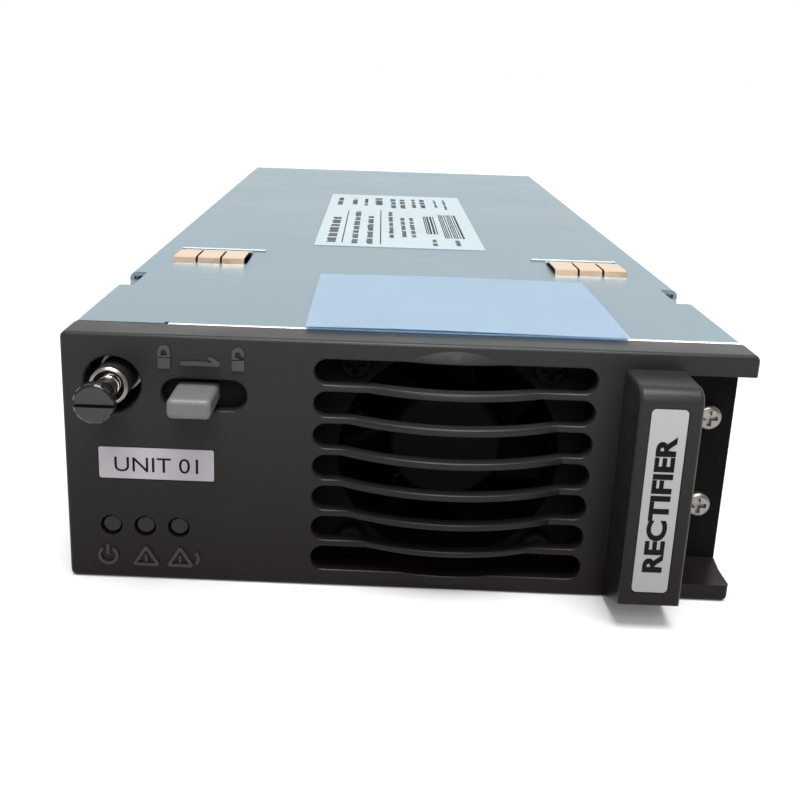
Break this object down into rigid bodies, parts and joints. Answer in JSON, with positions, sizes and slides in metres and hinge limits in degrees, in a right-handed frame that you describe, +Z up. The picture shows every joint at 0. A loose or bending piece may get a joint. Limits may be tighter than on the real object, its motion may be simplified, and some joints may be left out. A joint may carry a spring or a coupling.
{
  "type": "rackmount power rectifier module",
  "caption": "Slim hot-plug rack power module: dark moulded front with a domed fan grille, fixed side handle, slide latch and captive thumbscrew, long sheet-steel case and a rear plug.",
  "frame": {"origin": "middle of the underside of the case", "axes": "+X to the right of a person facing the front, +Y from the front to the back, +Z up"},
  "size_m": [0.1084, 0.276, 0.0423],
  "materials": {
    "bezel_plastic": "matt, finely textured charcoal moulding",
    "handle_plate": "satin light grey plate with dark print",
    "label_paper": "satin off-white label with dark print",
    "black_plastic": "matt black moulding",
    "knob_plastic": "glossy black moulding",
    "zinc_steel": "pale blue-grey zinc-plated sheet, satin",
    "rating_paper": "satin grey-white label with fine print",
    "film": "smooth bluish-white film",
    "copper_alloy": "bright spring copper alloy",
    "nickel": "bright nickel plate",
    "button_plastic": "satin light grey moulding",
    "dark_steel": "black passivated steel",
    "spring_steel": "drawn wire",
    "steel": "turned steel",
    "clear_plastic": "frosted clear moulding",
    "lamp_body": "moulded lamp body",
    "board_green": "solder-masked glass laminate",
    "insulator": "translucent insulating film",
    "aluminium": "extruded, satin",
    "device_epoxy": "moulded epoxy",
    "ferrite": "sintered ferrite, matt",
    "winding_copper": "enamelled copper wire",
    "box_yellow": "filled plastic box",
    "can_sleeve": "shrink sleeve on an aluminium can",
    "glass_tube": "clear glass tube",
    "contact_metal": "gold-flashed copper contact"
  },
  "bodies": {
    "chassis": {"front_bezel": "bezel_plastic", "handle_label": "handle_plate", "front_label": "label_paper", "inner_frame": "black_plastic", "top_cover": "zinc_steel", "chassis_tray": "zinc_steel", "rear_panel": "zinc_steel", "rating_label": "rating_paper", "blank_label": "film", "contact_fingers_left": "copper_alloy", "contact_fingers_right": "copper_alloy", "frame_screws": "nickel", "cover_screws": "nickel", "rear_screws": "nickel", "screw_ferrule": "nickel", "light_pipes": "clear_plastic", "indicator_leds": "lamp_body", "indicator_board": "board_green", "fan_frame": "black_plastic", "fan_screws": "dark_steel", "insulation_sheet": "insulator", "main_board": "board_green", "board_standoffs": "steel", "board_screws": "nickel", "heatsink_left": "aluminium", "heatsink_right": "aluminium", "power_devices_left": "device_epoxy", "power_devices_right": "device_epoxy", "input_choke_core": "ferrite", "input_choke_winding": "winding_copper", "boost_choke_core": "ferrite", "boost_choke_winding": "winding_copper", "filter_capacitors": "box_yellow", "bulk_capacitors": "can_sleeve", "output_capacitors": "can_sleeve", "transformer_core": "ferrite", "transformer_winding": "winding_copper", "fuse": "glass_tube", "fuse_clips": "nickel", "control_board": "board_green", "connector_housing": "black_plastic", "power_blades": "contact_metal", "signal_pins": "contact_metal", "latch_spring": "spring_steel", "screw_spring": "spring_steel"},
    "latch": {"slide_button": "button_plastic", "latch_plate": "dark_steel"},
    "screw_carrier": {"thrust_washer": "steel"},
    "captive_screw": {"captive_screw": "nickel", "screw_knob": "knob_plastic"},
    "fan_rotor": {"fan_rotor": "black_plastic", "fan_shaft": "steel"}
  },
  "joints": [
    {"name": "latch_slide", "type": "slide", "parent": "chassis", "child": "latch", "axis": [1, 0, 0], "range_m": [0, 0.0039], "stiffness_N_per_m": 300, "springref_m": -0.003, "deforming": ["latch_spring"]},
    {"name": "thumbscrew_push", "type": "slide", "parent": "chassis", "child": "screw_carrier", "axis": [0, 1, 0], "range_m": [0, 0.0048], "stiffness_N_per_m": 250, "springref_m": -0.002, "deforming": ["screw_spring"]},
    {"name": "thumbscrew_turn", "type": "hinge", "parent": "screw_carrier", "child": "captive_screw", "pos_m": [-0.04515, -0.128, 0.0332], "axis": [0, 1, 0], "continuous": true},
    {"name": "fan_spin", "type": "hinge", "parent": "chassis", "child": "fan_rotor", "pos_m": [0.00752, -0.108, 0.0205], "axis": [0, 1, 0], "continuous": true}
  ]
}
